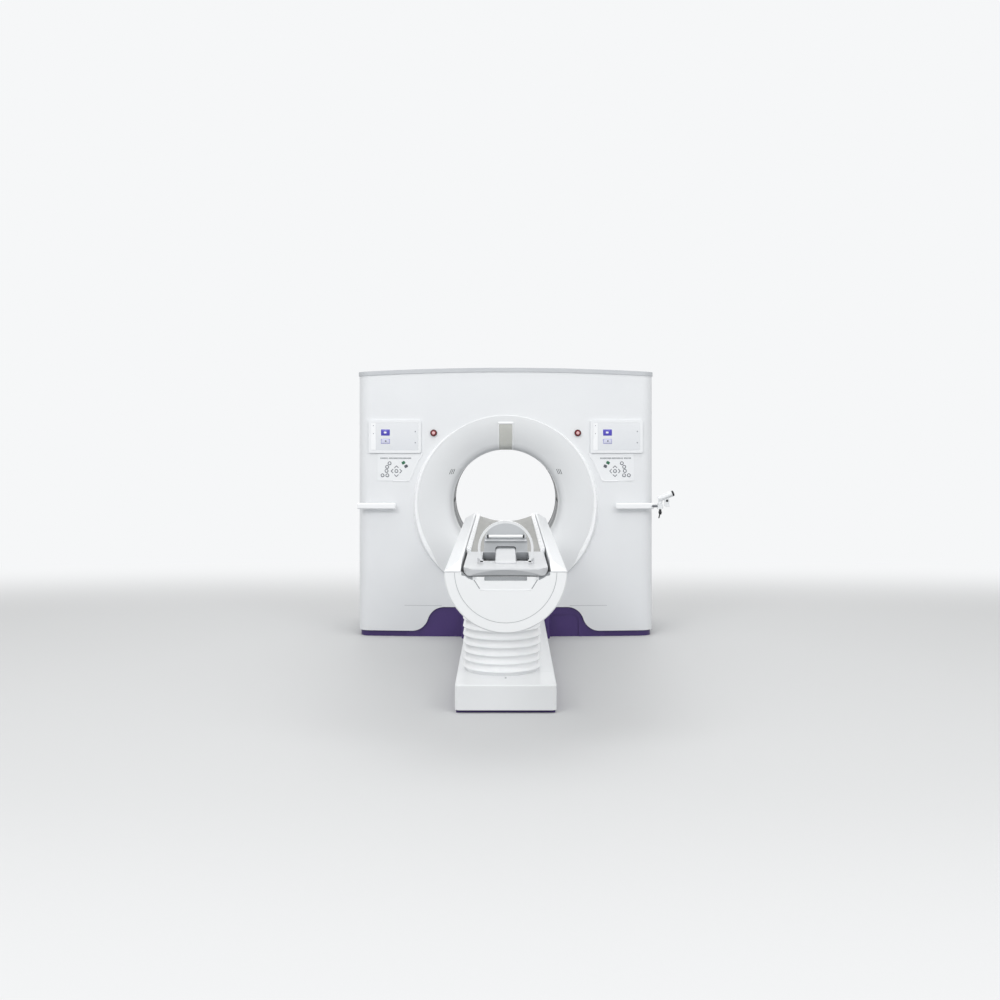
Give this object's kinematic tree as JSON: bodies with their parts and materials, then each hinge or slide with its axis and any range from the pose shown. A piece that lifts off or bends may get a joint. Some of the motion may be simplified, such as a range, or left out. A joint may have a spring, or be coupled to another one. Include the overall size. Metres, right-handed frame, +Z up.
{
  "type": "ct scanner",
  "caption": "Whole-body CT scanner: a gantry with a funnel-shaped bore on a base and a patient table with a bellows lift, a sliding cradle and a folding hoop.",
  "frame": {"origin": "on the floor, straight below the isocentre, where the beam plane crosses the bore's axis", "axes": "+Z up, +Y from the table into the gantry along the bore, +X to the viewer's right when facing the gantry from the table"},
  "size_m": [2.3707, 4.639, 2.015],
  "materials": {
    "white_cover": "satin moulded shell",
    "white_funnel": "satin moulded shell",
    "purple_casting": "powder coat",
    "purple_moulding": "fine texture",
    "grey_channel": "fine texture",
    "liner_white": "satin",
    "scan_window_film": "thin film",
    "dark_rubber": "matt",
    "strip_lens": "tinted",
    "panel_grey": "fine texture",
    "screen_pale": "glossy",
    "keypad_film": "printed film",
    "stop_collar": "fine texture",
    "stop_red": "glossy",
    "grip_white": "fine texture",
    "controller_grey": "fine texture",
    "controller_white": "fine texture",
    "controller_dark": "fine texture",
    "frame_steel": "enamel",
    "bearing_steel": "ground",
    "drum_aluminium": "machined",
    "tube_metal": "enamel",
    "collimator_metal": "plain",
    "detector_metal": "anodised",
    "module_metal": "enamel",
    "copper_brass": "turned",
    "bellows_skin": "matt",
    "table_white": "satin moulded shell",
    "column_steel": "ground",
    "cradle_white": "satin",
    "mat_vinyl": "soft vinyl",
    "frame_white": "satin",
    "hoop_metal": "painted",
    "plate_grey": "fine texture",
    "roller_white": "smooth"
  },
  "bodies": {
    "frame": {"gantry_base": "purple_casting", "base_fascia": "purple_moulding", "dock_bridge": "purple_moulding", "front_cover": "white_cover", "funnel_ring": "white_funnel", "funnel_lower_panel": "white_funnel", "laser_window_top": "strip_lens", "front_bore_liner": "liner_white", "scan_window": "scan_window_film", "rear_bore_liner": "liner_white", "bore_seals": "dark_rubber", "side_channels": "grey_channel", "side_cover_left": "white_cover", "side_cover_right": "white_cover", "rear_cover": "white_cover", "rear_funnel": "white_funnel", "top_trim": "white_cover", "display_bezels": "panel_grey", "display_screens": "screen_pale", "keypads": "keypad_film", "estop_bezels": "stop_collar", "handles": "grip_white", "controller_mount": "controller_grey", "stator_frame": "frame_steel", "bearing_outer": "bearing_steel", "drive_motor": "module_metal", "table_base_frame": "purple_casting", "base_cover_foot": "table_white", "base_cover_middle": "table_white", "base_cover_gantry": "table_white", "bellows": "bellows_skin", "lift_column_outer": "column_steel"},
    "rotor": {"bearing_inner": "bearing_steel", "slip_ring": "copper_brass", "rotor_drum": "drum_aluminium", "xray_tube": "tube_metal", "tube_collimator": "collimator_metal", "detector_array": "detector_metal", "hv_generator": "module_metal", "cooling_unit": "module_metal"},
    "table_top": {"bellows_flange": "table_white", "table_housing": "table_white", "top_frame": "frame_steel", "end_cap": "table_white", "rail_left": "table_white", "rail_right": "table_white", "lift_column_inner": "column_steel"},
    "cradle": {"cradle": "cradle_white", "mattress": "mat_vinyl", "foot_frame": "frame_white", "back_plate": "plate_grey"},
    "column_lower": {"lift_column_lower": "column_steel"},
    "column_upper": {"lift_column_upper": "column_steel"},
    "hoop": {"hoop": "hoop_metal"},
    "release_lever": {"release_lever": "grip_white"},
    "roller": {"roller_bar": "roller_white"},
    "stop_left": {"estop_button_left": "stop_red"},
    "stop_right": {"estop_button_right": "stop_red"},
    "controller_body": {"controller_body": "controller_white"},
    "controller_lever": {"controller_lever": "controller_dark"}
  },
  "joints": [
    {"name": "rotor_spin", "type": "hinge", "parent": "frame", "child": "rotor", "pos_m": [0, 0, 1], "axis": [0, 1, 0], "continuous": true},
    {"name": "table_lift", "type": "slide", "parent": "frame", "child": "table_top", "axis": [0, 0, 1], "range_m": [-0.38, 0], "deforming": ["bellows"]},
    {"name": "lift_lower", "type": "slide", "parent": "frame", "child": "column_lower", "axis": [0, 0, 1], "range_m": [-0.127, 0]},
    {"name": "lift_upper", "type": "slide", "parent": "frame", "child": "column_upper", "axis": [0, 0, 1], "range_m": [-0.254, 0]},
    {"name": "cradle_slide", "type": "slide", "parent": "table_top", "child": "cradle", "axis": [0, 1, 0], "range_m": [0, 1.75]},
    {"name": "hoop_fold", "type": "hinge", "parent": "cradle", "child": "hoop", "pos_m": [0, -3.933, 0.955], "axis": [1, 0, 0], "range_deg": [0, 85]},
    {"name": "release_lift", "type": "hinge", "parent": "cradle", "child": "release_lever", "pos_m": [0, -3.949, 0.942], "axis": [1, 0, 0], "range_deg": [0, 25]},
    {"name": "roller_spin", "type": "hinge", "parent": "cradle", "child": "roller", "pos_m": [0, -3.436, 1.023], "axis": [1, 0, 0], "continuous": true},
    {"name": "stop_press_left", "type": "slide", "parent": "frame", "child": "stop_left", "axis": [0, 1, 0], "range_m": [0, 0.004], "stiffness_N_per_m": 700},
    {"name": "stop_press_right", "type": "slide", "parent": "frame", "child": "stop_right", "axis": [0, 1, 0], "range_m": [0, 0.004], "stiffness_N_per_m": 700},
    {"name": "controller_swivel", "type": "hinge", "parent": "frame", "child": "controller_body", "pos_m": [1.156, -0.5412, 0.98], "axis": [0, 0, 1], "range_deg": [-80, 80]},
    {"name": "controller_tilt", "type": "hinge", "parent": "frame", "child": "controller_lever", "pos_m": [1.156, -0.5412, 0.948], "axis": [0, 1, 0], "range_deg": [-20, 20]}
  ],
  "couplings": [
    {"joint": "lift_lower", "follows": "table_lift", "ratio": 0.33333},
    {"joint": "lift_upper", "follows": "table_lift", "ratio": 0.66667}
  ]
}
